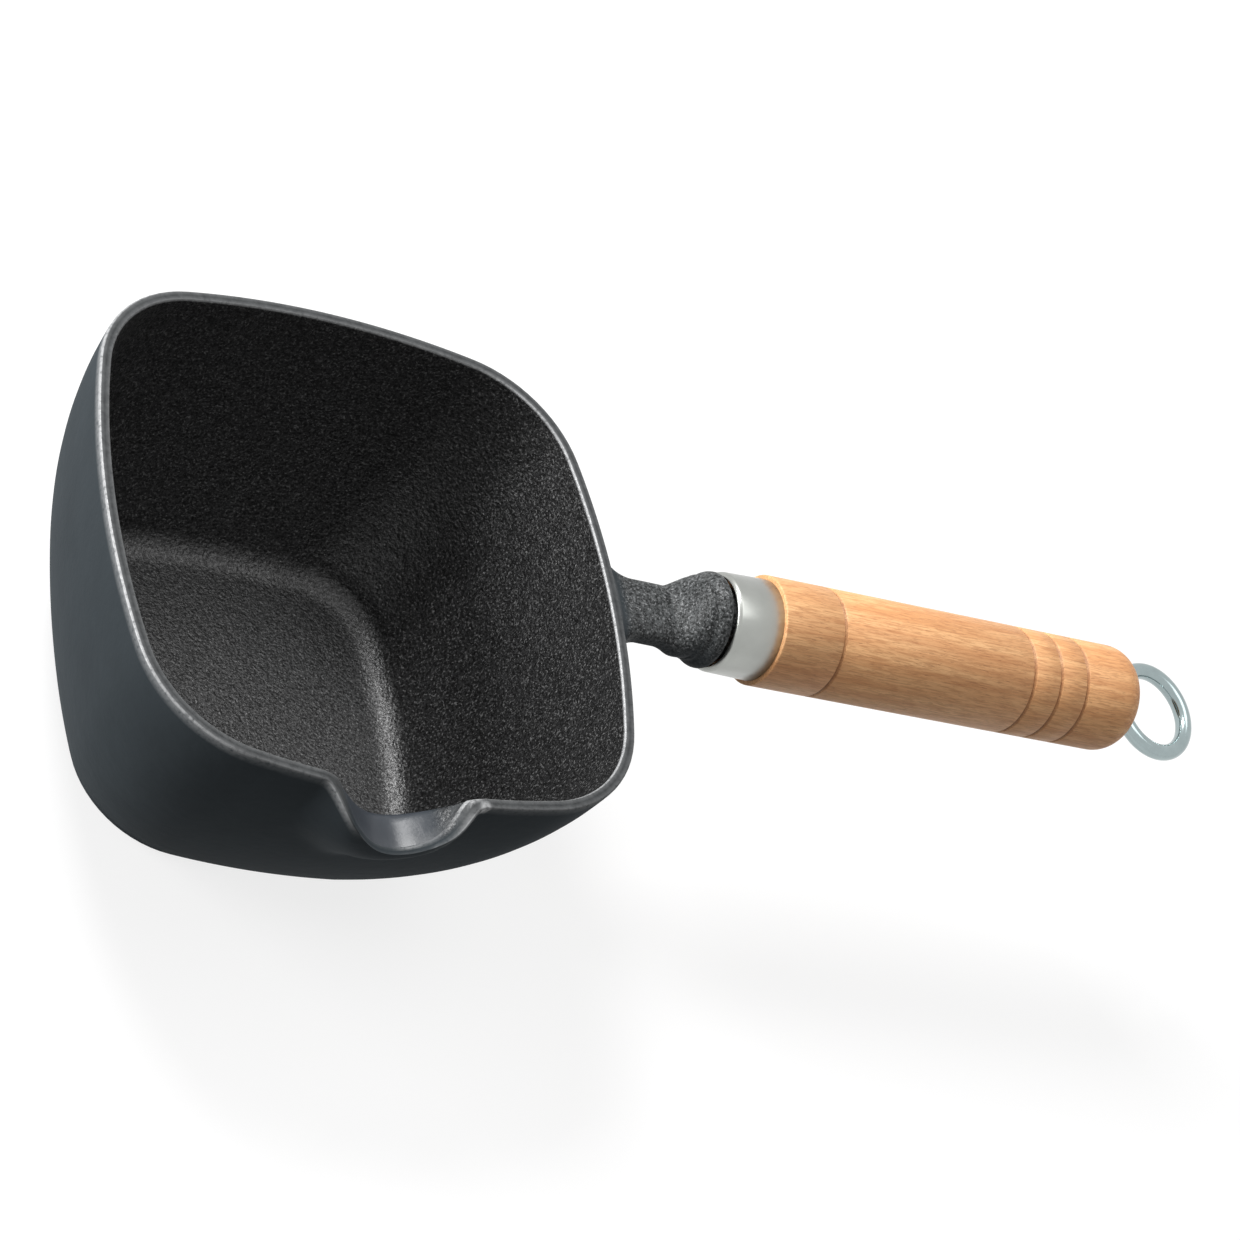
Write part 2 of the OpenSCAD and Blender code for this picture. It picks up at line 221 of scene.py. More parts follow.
# ---------------------------------------------------------------- the plan and the walls of the pan
CORNER_STEPS, PLAIN_STEPS, LIP_STEPS, REST_STEPS = 14, 14, 34, 6
LIP_SHARE = 0.62    # the part of half a side in which its points lie close, for the lip
PLAIN = [i / PLAIN_STEPS for i in range(PLAIN_STEPS)]
LIPPED = ([LIP_SHARE * i / LIP_STEPS for i in range(LIP_STEPS)]
          + [mix(LIP_SHARE, 1, i / REST_STEPS) for i in range(REST_STEPS)])


def corner_centre(a, side, corner):
    """Centre of the corner's arc, which touches the arcs of both its sides."""
    p, q = Vector((a - side, 0)), Vector((0, a - side))
    d = (q - p).length
    u = (q - p) / d
    h = math.sqrt((side - corner) ** 2 - d * d / 4)
    return (p + q) / 2 + h * Vector((-u.y, u.x)) * (1 if u.x > 0 else -1)


def quarter(a, side, corner, last):
    """Half a bulging side, a corner and half of the next side, short of its middle."""
    c = corner_centre(a, side, corner)
    t1 = math.atan2(c.y, c.x - a + side)
    t2 = math.atan2(c.y - a + side, c.x)
    line = [(a - side + side * math.cos(t1 * s), side * math.sin(t1 * s)) for s in PLAIN]
    for i in range(CORNER_STEPS + 1):
        t = mix(t1, t2, i / CORNER_STEPS) if i < CORNER_STEPS else t2
        line.append((c.x + corner * math.cos(t), c.y + corner * math.sin(t)))
    for s in reversed(last[1:]):
        t = mix(math.pi / 2, t2, s)
        line.append((side * math.cos(t), a - side + side * math.sin(t)))
    return line


def outline(a, side, corner):
    """The square with bowed sides and round corners, once round from the middle of the side at +X."""
    far = quarter(a, side, corner, PLAIN)
    near = quarter(a, side, corner, LIPPED)
    return (far + [(0, a)] + [(-x, y) for x, y in reversed(far[1:])] + [(-a, 0)]
            + [(-x, -y) for x, y in near[1:]] + [(0, -a)] + [(x, -y) for x, y in reversed(near[1:])])


def wall_in(z):
    """How far the outside of the wall lies inside the rim's outline at one height."""
    u = (WALL_H - z) / WALL_H
    return (WALL_H - z) * math.tan(math.radians(WALL_LEAN)) - WALL_BOW * 4 * u * (1 - u)


def wall_slope(z):
    u = (WALL_H - z) / WALL_H
    return math.atan(math.tan(math.radians(WALL_LEAN)) - WALL_BOW * 4 * (1 - 2 * u) / WALL_H)


def wall_t(z):
    return mix(FOOT_T, RIM_T, z / PAN_H)


def hump(x, reach, power=1.0):
    """1 in the middle of the lip and 0 from its reach on."""
    return 0.5 + 0.5 * math.cos(math.pi * min(1.0, abs(x - LIP_X) / reach) ** power)


def lip_plan(x, width):
    return hump(x, width / 2, LIP_POWER)


def lip_wave(x):
    return hump(x, LIP_W * LIP_WAVE)


RIM_LINE = outline(HALF, SIDE_R, CORNER_R)
COUNT = len(RIM_LINE)
RIM_Z = [PAN_H - (LIP_DIP * lip_wave(x) if y < 0 else 0) for x, y in RIM_LINE]
FOOT_SLOPE = wall_slope(BASE_EDGE_R * 0.5)
FOOT_Z = BASE_EDGE_R * (1 - math.sin(FOOT_SLOPE))
FOOT_IN = wall_in(FOOT_Z) + BASE_EDGE_R * math.cos(FOOT_SLOPE)
IN_SLOPE = wall_slope(FLOOR_T + FLOOR_R * 0.5)
IN_Z = FLOOR_T + FLOOR_R * (1 - math.sin(IN_SLOPE))
IN_FOOT = wall_in(IN_Z) + wall_t(IN_Z) + FLOOR_R * math.cos(IN_SLOPE)


# ---------------------------------------------------------------- the rings that the pan is drawn through
known_outlines = {}


def outline_at(o, z, thin, i):
    """Point i of the outline that lies o inside the rim, at height z, with arcs smaller by thin."""
    key = (round(o, 4), round(z, 4), round(thin, 4))
    if key not in known_outlines:
        u = min(1.0, max(0.0, (PAN_H - z) / PAN_H))
        side, corner = mix(SIDE_R, BASE_SIDE_R, u), mix(CORNER_R, BASE_CORNER_R, u)
        known_outlines[key] = outline(HALF - o, side - thin, corner - thin)
    return known_outlines[key][i]


def push_out(p, amount):
    return (p[0], p[1] - amount) if p[1] < 0 else p


def base_ring(t):
    """A ring of the rounded edge between the foot and the wall."""
    z, o = BASE_EDGE_R * (1 - math.sin(t)), FOOT_IN - BASE_EDGE_R * math.cos(t)
    thin = max(0, o - FOOT_IN + BASE_EDGE_R)
    return [(*outline_at(o, 0, thin, i), z) for i in range(COUNT)]


def outer_ring(u):
    """A ring of the outside, from the foot (0) to the rim's edge (1); the lip fades out downwards."""
    ring = []
    for i in range(COUNT):
        z = mix(FOOT_Z, RIM_Z[i] - RIM_EDGE, u)
        fade = 1 - ease((RIM_Z[i] - z - LIP_FADE_START) / LIP_FADE)
        amount = LIP_OUT * lip_plan(RIM_LINE[i][0], LIP_W) * fade
        ring.append((*push_out(outline_at(wall_in(z), z, 0, i), amount), z))
    return ring


def rim_ring(o, d):
    """A ring of the rim band, o inside its outer edge and d under its top."""
    ring = []
    for i in range(COUNT):
        amount = LIP_OUT * lip_plan(RIM_LINE[i][0], LIP_W - LIP_NARROWING * o)
        ring.append((*push_out(outline_at(o, PAN_H, o, i), amount), RIM_Z[i] - d))
    return ring


def inner_ring(u):
    """A ring of the inside, from the rim (0) down to the floor's fillet (1)."""
    ring = []
    for i in range(COUNT):
        z = mix(RIM_Z[i] - RIM_EDGE - LIP_FALL, IN_Z, u)
        t = wall_t(z)
        ring.append((*outline_at(wall_in(z) + t, z, t, i), z))
    return ring


def floor_ring(t):
    """A ring of the fillet between the wall and the floor."""
    z, o = FLOOR_T + FLOOR_R * (1 - math.sin(t)), IN_FOOT - FLOOR_R * math.cos(t)
    thin = wall_t(IN_Z) + max(0, o - IN_FOOT + FLOOR_R)
    return [(*outline_at(o, IN_Z, thin, i), z) for i in range(COUNT)]


def between(a, b, share):
    return [tuple(mix(p[j], q[j], share) for j in range(3)) for p, q in zip(a, b)]


def softened(a, corner, b, steps=5):
    """Rings that round the corner between three rings, touching the first and the last."""
    rings = []
    for k in range(steps + 1):
        t = k / steps
        rings.append([tuple((1 - t) ** 2 * p[j] + 2 * t * (1 - t) * q[j] + t * t * r[j]
                            for j in range(3)) for p, q, r in zip(a, corner, b)])
    return rings


def pan_rings(foot=8, wall=30, edge=5, inside=22, fillet=10, sill_end=0.035):
    """All rings of the pan: up the outside, over the rim, and down the inside to the floor."""
    rings = [base_ring(mix(FOOT_SLOPE, math.pi / 2, k / foot)) for k in range(foot, 0, -1)]
    rings += [outer_ring(k / wall) for k in range(wall + 1)]
    turns = [math.radians(90 * k / edge) for k in range(1, edge)]
    side, band = outer_ring(1), rim_ring(RIM_EDGE, 0)
    for t in turns:
        inwards, upwards = 1 - math.cos(t), math.sin(t)
        rings.append([(mix(p[0], q[0], inwards), mix(p[1], q[1], inwards), mix(p[2], q[2], upwards))
                      for p, q in zip(side, band)])
    rings += [band, rim_ring(RIM_T / 2, 0), rim_ring(RIM_T - RIM_EDGE, 0)]
    for t in turns:
        rings.append(rim_ring(RIM_T - RIM_EDGE + RIM_EDGE * math.sin(t), RIM_EDGE * (1 - math.cos(t))))
    inner_edge, sill = rim_ring(RIM_T, RIM_EDGE), inner_ring(0)
    rings += [inner_edge, between(inner_edge, sill, 0.35)]
    rings += softened(between(inner_edge, sill, 0.7), sill, inner_ring(sill_end))
    rings += [inner_ring(mix(sill_end, 1, k / inside)) for k in range(1, inside + 1)]
    rings += [floor_ring(mix(IN_SLOPE, math.pi / 2, k / fillet)) for k in range(1, fillet + 1)]
    return rings


def swelling(x, late):
    """How far the neck has swollen into the collar at x: 0 at its waist, 1 at the collar."""
    start = HALF + NECK_WAIST + late
    return ease((x - start) / (COLLAR_END - COLLAR_LEN - 0.6 - start))


def neck_rings(count=64, steps=60):
    """The neck: a soft-cornered bar that leaves the wall under the rim and swells into the collar."""
    start, stop = HALF - RIM_T * 0.55, COLLAR_END - COLLAR_LEN + 0.5
    in_collar = COLLAR_D / 2 - COLLAR_TAPER
    rings = []
    for k in range(steps + 1):
        x = mix(start, stop, k / steps)
        swell, crest = swelling(x, 0), swelling(x, NECK_CREST)
        root = max(0.0, min(1.0, (HALF + NECK_FILLET - x) / NECK_FILLET))
        flare = NECK_FILLET * (1 - math.sqrt(max(0.0, 1 - root * root * 0.96)))
        half_w = mix(NECK_W / 2, in_collar, swell) + flare
        top = mix(NECK_TOP, AXIS_Z + in_collar, crest)
        low = mix(NECK_TOP - NECK_T, AXIS_Z - in_collar, swell) - flare * 0.8
        middle, half_h, e = (top + low) / 2, (top - low) / 2, mix(NECK_SOFTNESS, 1, swell)
        ring = []
        for i in range(count):
            a = 2 * math.pi * (i + 0.5) / count
            c, s = math.cos(a), math.sin(a)
            ring.append((x, half_w * math.copysign(abs(c) ** e, c),
                         middle + half_h * math.copysign(abs(s) ** e, s)))
        rings.append(ring)
    return rings


def cast_pan():
    """The pan, its neck, and the collar with its spigot and the rod's socket, as one solid."""
    pan = drawn_through("cast_pan", pan_rings())
    neck = drawn_through("neck", neck_rings())
    start, r = COLLAR_END - COLLAR_LEN, COLLAR_D / 2
    low, rise = r - COLLAR_TAPER, COLLAR_END - 1.3 - start
    profile = [(start + x, low + out) for x, out in COLLAR_RIDGES]
    profile += [(start + rise * k / 8, r - COLLAR_TAPER * (1 - math.sin(math.pi / 2 * k / 8)))
                for k in range(4, 9)]
    profile += arc(COLLAR_END - COLLAR_R, r - COLLAR_R, COLLAR_R, 0, 90, 8)
    profile += [(COLLAR_END, SPIGOT_D / 2), (SPIGOT_END - SPIGOT_EDGE, SPIGOT_D / 2),
                (SPIGOT_END, SPIGOT_D / 2 - SPIGOT_EDGE)]
    collar = turned("collar", profile, sides=160, closed=False)
    drill = turned("drill", [(SOCKET_END, ROD_HOLE_R), (SPIGOT_END + 1, ROD_HOLE_R)],
                   sides=64, closed=False)
    join_solids(pan, neck)
    join_solids(pan, set_on_handle(collar))
    join_solids(pan, set_on_handle(drill), "DIFFERENCE")
    return pan


# ---------------------------------------------------------------- where the cast surface differs
LINE_STEPS = 12         # measuring points between two points of a ring
BODY_END = 73.5         # x at which the body's marks give way to the neck's
# a painted highlight: a bright spot painted where the lip meets the rim
LIP_HIGHLIGHT_SPOT = (20.5, -73.5)    # the bright spot where the lip meets the rim


def measuring_line(ring):
    """Close points along one ring, to ask how far a place is from that line."""
    line = kdtree.KDTree(COUNT * LINE_STEPS)
    for i, p in enumerate(ring):
        start, stop = Vector(p), Vector(ring[(i + 1) % COUNT])
        for k in range(LINE_STEPS):
            line.insert(start.lerp(stop, k / LINE_STEPS), i * LINE_STEPS + k)
    line.balance()
    return line


def paint_finish(pan):
    """Marks the cast surface on its points.

    "finish" is red on the sandy inside, green on the rim band, blue on the neck (less on its underside, as
    painted shade), and its alpha marks the worn edges, brighter where they face -X as a painted highlight,
    and a painted highlight spot where the lip meets the rim. "channel" is the smooth part of the lip.
    """
    edges = [measuring_line(rim_ring(0.2, 0.15)), measuring_line(rim_ring(RIM_T - 0.25, 0.2))]
    finish, channel = [], []
    for v in pan.data.vertices:
        x, y, z = v.co / MM
        n = v.normal
        outer, inner = (line.find(v.co / MM)[2] for line in edges)
        rim_here = PAN_H - (LIP_DIP * lip_wave(x) if y < -40 else 0)
        on_body = fades(x, BODY_END, 3)

        facing_in = -(n.x * x + n.y * y) / (math.hypot(x, y) or 1)
        floor = grows(n.z, 0.4, 0.4) if z < 30 else 0
        inside = max(grows(facing_in, 0, 0.35), floor) * on_body
        top = grows(z, rim_here - 1.3, 0.5) * on_body
        rim = top * grows(n.z, 0.25, 0.5)
        # worn edges, painted brighter where they face -X: partly wear, partly painted highlight
        edge = fades(min(outer, inner), 0.25, 0.5) * on_body * mix(0.25, 1, grows(-n.x, 0.05, 0.4))
        # the neck, with less of its lighter skin where it faces down: painted shade on the underside
        neck = grows(x, 75.2, 3.5) * mix(0.2, 1, grows(n.z, -0.35, 0.9))

        lip = grows(lip_wave(x), 0.12, 0.3) * grows(-y, 55, 8) * grows(z, 50, 8)
        lip_top = lip * grows(n.z, 0.25, 0.4)
        lip_face = lip_top * fades(outer, RIM_T - 0.7, 0.4)
        smooth_part = (lip_top - lip_face) * fades(x, 7, 6)
        # the painted highlight spot
        highlight_spot = fades(math.hypot(x - LIP_HIGHLIGHT_SPOT[0], y - LIP_HIGHLIGHT_SPOT[1]), 0.5, 1.6)

        inside = max(inside * (1 - lip_top), lip_top - lip_face - smooth_part)
        finish += [inside * (1 - 0.6 * rim * (1 - lip_top)), rim * (1 - lip_top), neck,
                   max(edge * (1 - 0.6 * lip), highlight_spot * top)]
        channel.append(smooth_part)
    attributes = pan.data.attributes
    attributes.new("finish", "FLOAT_COLOR", "POINT").data.foreach_set("color", finish)
    attributes.new("channel", "FLOAT", "POINT").data.foreach_set("value", channel)


# ---------------------------------------------------------------- the pieces of the handle
def groove(x):
    """A V with rounded lips, turned into the grip at one station."""
    w, r, bottom = GROOVE_W / 2, GRIP_R, GRIP_R - GROOVE_DEPTH
    flank = [(w + 0.12, r), (w - 0.05, r - 0.09), (0.18, bottom + 0.1)]
    return ([(x - out, height) for out, height in flank] + [(x, bottom)]
            + [(x + out, height) for out, height in reversed(flank)])


def turned_grip():
    line = [(SPIGOT_END, WOOD_BORE_R), (SPIGOT_END, SLEEVE_R - 0.6), (SPIGOT_END + 0.6, SLEEVE_R),
            (FERRULE_BACK, SLEEVE_R), (FERRULE_BACK, GRIP_R - GRIP_EDGE_R)]
    line += arc(FERRULE_BACK + GRIP_EDGE_R, GRIP_R - GRIP_EDGE_R, GRIP_EDGE_R, -80, 0, 5)
    for station in GROOVES:
        line += groove(station)
    line += arc(GRIP_END - GRIP_END_R, GRIP_R - GRIP_END_R, GRIP_END_R, 0, 88, 18)
    line += [(GRIP_END, RECESS_R + 0.1), (GRIP_END - 0.3, RECESS_R), (RECESS_FLOOR, RECESS_R),
             (RECESS_FLOOR, WOOD_BORE_R), (SPIGOT_END, WOOD_BORE_R)]
    grip = set_on_handle(turned("turned_grip", line, sides=144))
    smooth(grip, 40)
    return grip


def paint_groove_shade(grip):
    """Marks painted shade in the grooves, less on the handle's upper side."""
    groove_shading = []
    for v in grip.data.vertices:
        station, out = on_handle(v.co)
        depth = max(fades(abs(station - g), 0.15, 0.5) for g in GROOVES) if out > 13.9 else 0
        # painted shade: darker where the groove faces down, away from the light
        groove_shading.append(depth * mix(0.4, 1, fades(v.normal.z, -0.3, 0.9)))
    grip.data.attributes.new("groove_shade", "FLOAT", "POINT").data.foreach_set("value", groove_shading)


def pressed_ferrule():
    front, back, nose = FERRULE_FRONT_D / 2, FERRULE_BACK_D / 2, FERRULE_NOSE
    middle, curl, inner_nose = front - nose, FERRULE_FRONT + nose, nose - FERRULE_T
    reach = math.degrees(math.acos((FERRULE_MOUTH_D / 2 - middle) / nose))
    inner_reach = math.degrees(math.acos(0.4 / inner_nose))
    line = [(FERRULE_BACK, SLEEVE_R + 0.01), (FERRULE_BACK, back - 0.12), (FERRULE_BACK - 0.15, back)]
    line += arc(curl, middle, nose, 0, -reach, 10)
    line += arc(curl, middle, inner_nose, -inner_reach, -8, 4)
    line += [(curl, SLEEVE_R + 0.01), (FERRULE_BACK, SLEEVE_R + 0.01)]
    ferrule = set_on_handle(turned("pressed_ferrule", line, sides=160))
    smooth(ferrule, 40)
    return ferrule


def screwed_eye():
    """The ring and its round boss, with the hole for the rod's end, as one solid."""
    put_all_down()
    bpy.ops.mesh.primitive_torus_add(
        major_radius=(EYE_D - EYE_WIRE) / 2 * MM, minor_radius=EYE_WIRE / 2 * MM,
        major_segments=144, minor_segments=36,
        location=(EYE_X * MM, 0, AXIS_Z * MM), rotation=(math.radians(EYE_TURN), 0, 0))
    eye = tip(settle(bpy.context.object), BEND_X, -EYE_BEND)
    eye.name = "screwed_eye"
    boss = turned("boss", [(WASHER_BACK, 4.5), (WASHER_BACK + 0.2, 4.85), (WASHER_BACK + 0.5, 5),
                           (GRIP_END - 1.9, 5), (GRIP_END - 1.3, 4.9), (GRIP_END - 0.3, 4.2),
                           (GRIP_END + 0.7, 3.1), (BOSS_END, 2.2)], sides=96, closed=False)
    drill = turned("drill", [(WASHER_BACK - 1, ROD_HOLE_R), (ROD_STOP + 0.1, ROD_HOLE_R)],
                   sides=64, closed=False)
    join_solids(eye, boss)
    join_solids(eye, drill, "DIFFERENCE")
    set_on_handle(eye)
    smooth(eye, 40)
    return eye


# ---------------------------------------------------------------- colours, as linear values
IRON_OUTSIDE, IRON_RIM = (0.0350, 0.0420, 0.0470), (0.060, 0.062, 0.063)
IRON_INSIDE, INSIDE_PIT, INSIDE_GLINT = (0.0165, 0.0165, 0.0170), (0.005, 0.005, 0.005), (0.24, 0.24, 0.24)
IRON_NECK, NECK_PIT, NECK_GLINT = (0.066, 0.070, 0.071), (0.014, 0.015, 0.015), (0.30, 0.305, 0.31)
IRON_CHANNEL, IRON_WORN_AND_HIGHLIGHT = (0.034, 0.040, 0.049), (0.34, 0.345, 0.35)
BEECH_DARK, BEECH_LIGHT, BEECH_RING = (0.70, 0.330, 0.132), (0.92, 0.540, 0.255), (0.54, 0.235, 0.088)
BEECH_FIBRE, BEECH_FLECK, BEECH_GROOVE_SHADE = (0.45, 0.180, 0.062), (0.36, 0.140, 0.050), (0.110, 0.034, 0.012)
SLEEVE_STEEL, EYE_PLATING, WASHER_PLATING = (0.37, 0.38, 0.36), (0.34, 0.405, 0.41), (0.62, 0.66, 0.70)
ROD_STEEL, THREAD_ROOT_SHADE = (0.48, 0.49, 0.50), (0.16, 0.16, 0.165)
WHITE, FLOOR_GREY = (1.0, 1.0, 1.0), (0.24, 0.24, 0.24)


# ---------------------------------------------------------------- building blocks of the materials
def material(name):
    m = bpy.data.materials.new(name)
    m.use_nodes = True
    return m, m.node_tree, m.node_tree.nodes["Principled BSDF"]


def plug(tree, node, slot, value):
    """Feeds an input from another node's output, or sets it; a colour is given without alpha."""
    socket = node.inputs[slot]
    if isinstance(value, bpy.types.NodeSocket):
        tree.links.new(value, socket)
    else:
        socket.default_value = (*value, 1.0) if socket.type == "RGBA" else value


def add(tree, kind, *feeds, **settings):
    """A node with its settings; each feed is a slot (name or number) and what feeds it."""
    node = tree.nodes.new(kind)
    for key, value in settings.items():
        setattr(node, key, value)
    for slot, value in feeds:
        plug(tree, node, slot, value)
    return node


def maths(tree, operation, a, b=0.0):
    return add(tree, "ShaderNodeMath", (0, a), (1, b), operation=operation).outputs[0]


def times(tree, a, b):
    return maths(tree, "MULTIPLY", a, b)


def plus(tree, a, b):
    return maths(tree, "ADD", a, b)


def larger(tree, a, b):
    return maths(tree, "MAXIMUM", a, b)


def ramp(tree, value, low, high):
    """0 up to the low value and 1 from the high value on, with a soft step between them."""
    return add(tree, "ShaderNodeMapRange", ("Value", value), ("From Min", low), ("From Max", high),
               ("To Min", 0.0), ("To Max", 1.0), interpolation_type="SMOOTHSTEP").outputs[0]


def layered(tree, colour, *layers):
    """Lays colours over one another, each by its own share."""
    for share, layer in layers:
        colour = add(tree, "ShaderNodeMix", (0, share), (6, colour), (7, layer),
                     data_type="RGBA").outputs[2]
    return colour


def place(tree, offset=(0, 0, 0), stretch=(1, 1, 1)):
    """Object coordinates, moved and stretched for one pattern."""
    spot = add(tree, "ShaderNodeTexCoord").outputs["Object"]
    return add(tree, "ShaderNodeMapping", ("Vector", spot), ("Location", offset),
               ("Scale", stretch)).outputs[0]


def speckle(tree, scale, detail, rough=0.55, spot=None, distortion=0.0):
    return add(tree, "ShaderNodeTexNoise", ("Vector", spot or place(tree)), ("Scale", scale),
               ("Detail", detail), ("Roughness", rough), ("Distortion", distortion)).outputs["Fac"]


def painted(tree, name):
    """What was painted on the piece's points under this name."""
    return add(tree, "ShaderNodeAttribute", attribute_name=name, attribute_type="GEOMETRY")


def bumped(tree, shader, height, strength, distance, *slots):
    bump = add(tree, "ShaderNodeBump", ("Height", height), ("Strength", strength),
               ("Distance", distance))
    for slot in ("Normal", *slots):
        plug(tree, shader, slot, bump.outputs[0])


def shared(name, inputs, output, kind):
    """A node group with its inputs, their usual values and its one output, still empty."""
    group = bpy.data.node_groups.new(name, "ShaderNodeTree")
    for label, value in inputs:
        coloured = isinstance(value, tuple)
        socket = group.interface.new_socket(
            label, in_out="INPUT", socket_type="NodeSocketColor" if coloured else "NodeSocketFloat")
        socket.default_value = (*value, 1.0) if coloured else value
    group.interface.new_socket(output, in_out="OUTPUT", socket_type=kind)
    return group, group.nodes.new("NodeGroupInput"), group.nodes.new("NodeGroupOutput")


def uneven_tone():
    """Slow cloudy variation of a colour, with finer mottling in it."""
    inputs = [("Colour", (0.5, 0.5, 0.5)), ("Amount", 0.2), ("Scale", 60.0)]
    group, start, end = shared("uneven tone", inputs, "Colour", "NodeSocketColor")
    spot = add(group, "ShaderNodeTexCoord").outputs["Object"]
    cloud = speckle(group, start.outputs["Scale"], 5.0, 0.62, spot)
    swing = times(group, maths(group, "SUBTRACT", cloud, 0.5), times(group, start.outputs["Amount"], 4.0))
    tone = add(group, "ShaderNodeVectorMath", (0, start.outputs["Colour"]),
               ("Scale", plus(group, swing, 1.0)), operation="SCALE")
    plug(group, end, "Colour", tone.outputs[0])
    return group


def drawn_lines():
    """Fine lines of turning or brushing; the two stretches lay them along or round the handle."""
    inputs = [("Along", 900.0), ("Across", 25.0)]
    group, start, end = shared("drawn lines", inputs, "Height", "NodeSocketFloat")
    spot = add(group, "ShaderNodeTexCoord").outputs["Object"]
    along, across = start.outputs["Along"], start.outputs["Across"]
    stretch = add(group, "ShaderNodeCombineXYZ", (0, along), (1, across), (2, across)).outputs[0]
    stretched = add(group, "ShaderNodeVectorMath", (0, spot), (1, stretch),
                    operation="MULTIPLY").outputs[0]
    plug(group, end, "Height", speckle(group, 1.0, 3.0, 0.7, stretched))
    return group


TONE = uneven_tone()
LINES = drawn_lines()


def toned(tree, colour, amount, scale):
    return add(tree, "ShaderNodeGroup", ("Colour", colour), ("Amount", amount), ("Scale", scale),
               node_tree=TONE).outputs["Colour"]


def lined(tree, along, across):
    return add(tree, "ShaderNodeGroup", ("Along", along), ("Across", across),
               node_tree=LINES).outputs["Height"]


# ---------------------------------------------------------------- materials
def cast_iron():
    """Matt cast skin outside, and sandy oiled skin inside and on the neck; edges worn bright, with painted
    highlights on them.
    """
    m, t, shader = material("cast iron")
    marks = painted(t, "finish")
    zones = add(t, "ShaderNodeSeparateColor", (0, marks.outputs["Color"]))
    inside, rim, neck = zones.outputs[0], zones.outputs[1], zones.outputs[2]
    channel = painted(t, "channel").outputs["Fac"]
    glints = ramp(t, speckle(t, 1500, 2.0, 0.6, place(t, offset=(0.4, 0.2, 0.7))), 0.54, 0.72)
    pits = ramp(t, speckle(t, 1200, 3.0, 0.75, place(t, offset=(0.1, 0.6, 0.3))), 0.43, 0.57)
    # worn edges with painted highlights on them, and the painted highlight spot at the lip
    wear_and_highlight = times(t, marks.outputs["Alpha"], ramp(t, speckle(t, 900, 2.0), 0.05, 0.60))

    inner_skin = layered(t, INSIDE_PIT, (pits, toned(t, IRON_INSIDE, 0.20, 90.0)),
                         (times(t, glints, 0.6), INSIDE_GLINT))
    necked = toned(t, IRON_NECK, 0.25, 160.0)
    neck_skin = layered(t, NECK_PIT, (pits, necked), (times(t, glints, 0.7), NECK_GLINT))
    colour = layered(t, toned(t, IRON_OUTSIDE, 0.12, 38.0), (inside, inner_skin), (neck, neck_skin),
                     (times(t, rim, 0.85), toned(t, IRON_RIM, 0.45, 420.0)),
                     (channel, IRON_CHANNEL), (times(t, wear_and_highlight, 0.85), IRON_WORN_AND_HIGHLIGHT))
    plug(t, shader, "Base Color", colour)

    sandy = larger(t, inside, times(t, neck, 0.8))
    shiny = larger(t, sandy, larger(t, channel, wear_and_highlight))
    plug(t, shader, "Roughness", maths(t, "SUBTRACT", 0.72, times(t, shiny, 0.30)))
    plug(t, shader, "Specular IOR Level", 0.03)

    film = plus(t, times(t, pits, 0.50), 0.50)
    oiled = times(t, larger(t, inside, times(t, neck, 0.30)), film)
    oiled = larger(t, oiled, times(t, channel, 0.5))
    plug(t, shader, "Coat Weight", larger(t, oiled, wear_and_highlight))
    plug(t, shader, "Coat Roughness", 0.36)
    plug(t, shader, "Coat IOR", 1.58)

    peel = times(t, speckle(t, 300, 2.0), 0.16)
    grit = plus(t, times(t, speckle(t, 1150, 2.0, 0.6), 0.8), times(t, speckle(t, 430, 2.0, 0.5), 0.5))
    depth = plus(t, times(t, sandy, 0.54), 0.06)
    bumped(t, shader, plus(t, times(t, grit, depth), peel), 1.0, 0.6 * MM, "Coat Normal")
    return m


def beech():
    """Turned beech: year rings, fibres and short flecks along the handle, and painted shade in the grooves.
    """
    m, t, shader = material("turned beech")
    tone = speckle(t, 1.0, 4.0, 0.6, place(t, stretch=(14, 260, 260)))
    fibre = speckle(t, 1.0, 3.0, 0.7, place(t, stretch=(170, 2100, 2100)), 0.4)
    rings = add(t, "ShaderNodeTexWave",
                ("Vector", place(t, offset=(0, 0.034, -0.028), stretch=(0.35, 1, 1))),
                ("Scale", 95.0), ("Distortion", 2.2), ("Detail", 2.0), ("Detail Scale", 1.2),
                wave_type="RINGS", rings_direction="X").outputs["Fac"]
    flecks = ramp(t, speckle(t, 1.0, 1.0, 0.5, place(t, stretch=(340, 2300, 2300))), 0.62, 0.70)
    # painted shade in the grooves
    groove_shade = painted(t, "groove_shade").outputs["Fac"]
    colour = layered(t, BEECH_DARK, (ramp(t, tone, 0.3, 0.7), BEECH_LIGHT),
                     (times(t, rings, 0.26), BEECH_RING),
                     (times(t, ramp(t, fibre, 0.40, 0.64), 0.60), BEECH_FIBRE),
                     (times(t, flecks, 0.40), BEECH_FLECK), (times(t, groove_shade, 0.85), BEECH_GROOVE_SHADE))
    plug(t, shader, "Base Color", colour)
    plug(t, shader, "Roughness", plus(t, times(t, fibre, 0.22), 0.42))
    bumped(t, shader, maths(t, "SUBTRACT", fibre, times(t, flecks, 0.5)), 0.5, 0.14 * MM)
    return m


def plain_steel(name, colour, rough, along, across, depth, amount=0.06):
    """Bare or plated steel, with lines of the given stretch and depth in it."""
    m, t, shader = material(name)
    lines = lined(t, along, across)
    plug(t, shader, "Base Color", toned(t, colour, amount, 120.0))
    plug(t, shader, "Roughness", plus(t, times(t, lines, 0.14), rough - 0.07))
    plug(t, shader, "Metallic", 1.0)
    bumped(t, shader, lines, depth, 0.06 * MM)
    return m


